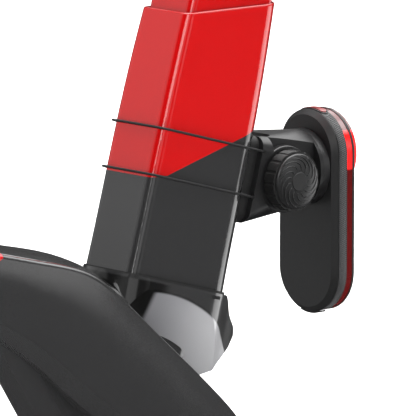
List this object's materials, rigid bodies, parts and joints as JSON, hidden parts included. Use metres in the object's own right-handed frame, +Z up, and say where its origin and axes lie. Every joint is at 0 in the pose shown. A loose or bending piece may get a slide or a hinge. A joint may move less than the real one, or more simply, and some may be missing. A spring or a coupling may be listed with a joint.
{
  "type": "bicycle seat cluster with rear light",
  "caption": "Aero bicycle seat cluster: frame node, seat mast, sliding seat post with saddle clamp, and a rear light tied on with a dial-tightened lace.",
  "frame": {"origin": "where the seat tube's axis meets the plane of its joining spigot's lower face", "axes": "+X to the rear of the bicycle, +Y to the rider's right, +Z up"},
  "size_m": [0.2699, 0.079, 0.3114],
  "materials": {
    "carbon_paint": "glossy dark grey paint over carbon fibre, red on part of it",
    "mast_paint": "glossy red above dark grey, painted carbon fibre",
    "alloy": "black anodised aluminium",
    "steel": "steel fasteners",
    "rubber": "matte black rubber",
    "nylon": "black glass-filled nylon",
    "satin_black": "fine satin black plastic",
    "lace": "black braided lace",
    "red_lens": "translucent red plastic",
    "smoked_red": "smoked red translucent plastic",
    "mirror": "metallised plastic reflector",
    "board": "circuit board",
    "led": "light-emitting diodes",
    "cell": "wrapped lithium cell"
  },
  "bodies": {
    "root": {"frame_yoke": "carbon_paint", "seat_tube": "carbon_paint", "nacelle": "carbon_paint", "mast_seal": "rubber", "seat_mast": "mast_paint", "wedge_lower": "alloy", "wedge_upper": "alloy", "wedge_bolt": "steel", "mount_pad": "rubber", "mount_bracket": "nylon", "twist_socket": "nylon", "socket_screws": "steel", "lace": "lace", "lace_guide": "nylon", "dial_base": "nylon", "ratchet_ring": "nylon", "axle_screw": "steel"},
    "post": {"seat_post": "mast_paint", "post_head": "alloy"},
    "rail_clamp": {"tilt_barrel": "alloy", "rail_cradles": "alloy", "rail_clamps": "alloy", "clamp_bolt": "steel", "clamp_nut": "steel"},
    "spool": {"dial_spool": "nylon"},
    "knob": {"dial_knob": "nylon", "knob_grip": "rubber", "dial_cap": "satin_black", "pawl_disc": "nylon"},
    "light": {"back_cover": "satin_black", "housing_gasket": "rubber", "housing_band": "satin_black", "side_light_guide": "red_lens", "rear_frame": "satin_black", "main_lens": "red_lens", "lens_bezel": "satin_black", "tail_panel": "smoked_red", "reflector": "mirror", "circuit_board": "board", "board_screws": "steel", "leds": "led", "battery": "cell", "usb_port": "steel", "button_switch": "nylon", "button_rim": "satin_black"},
    "button": {"power_button": "red_lens"},
    "port_cover": {"port_cover": "rubber"}
  },
  "joints": [
    {"name": "seat_height", "type": "slide", "parent": "root", "child": "post", "axis": [0.2672, 0, 0.9636], "range_m": [-0.02, 0.045]},
    {"name": "saddle_tilt", "type": "hinge", "parent": "post", "child": "rail_clamp", "pos_m": [0.08177, 0, 0.29487], "axis": [0, 1, 0], "range_deg": [-15, 15]},
    {"name": "dial_turn", "type": "hinge", "parent": "root", "child": "spool", "pos_m": [0.0954, 0, 0.1422], "axis": [0, -1, 0], "continuous": true},
    {"name": "dial_pull", "type": "slide", "parent": "spool", "child": "knob", "axis": [0, -1, 0], "range_m": [0, 0.0025]},
    {"name": "light_turn", "type": "hinge", "parent": "root", "child": "light", "pos_m": [0.1236, 0, 0.1437], "axis": [1, 0, 0], "range_deg": [0, 90]},
    {"name": "button_press", "type": "slide", "parent": "light", "child": "button", "axis": [0, 0, -1], "range_m": [0, 0.0008], "stiffness_N_per_m": 2500},
    {"name": "port_flap", "type": "hinge", "parent": "light", "child": "port_cover", "pos_m": [0.1289, 0.0069, 0.0744], "axis": [1, 0, 0], "range_deg": [0, 80]}
  ]
}
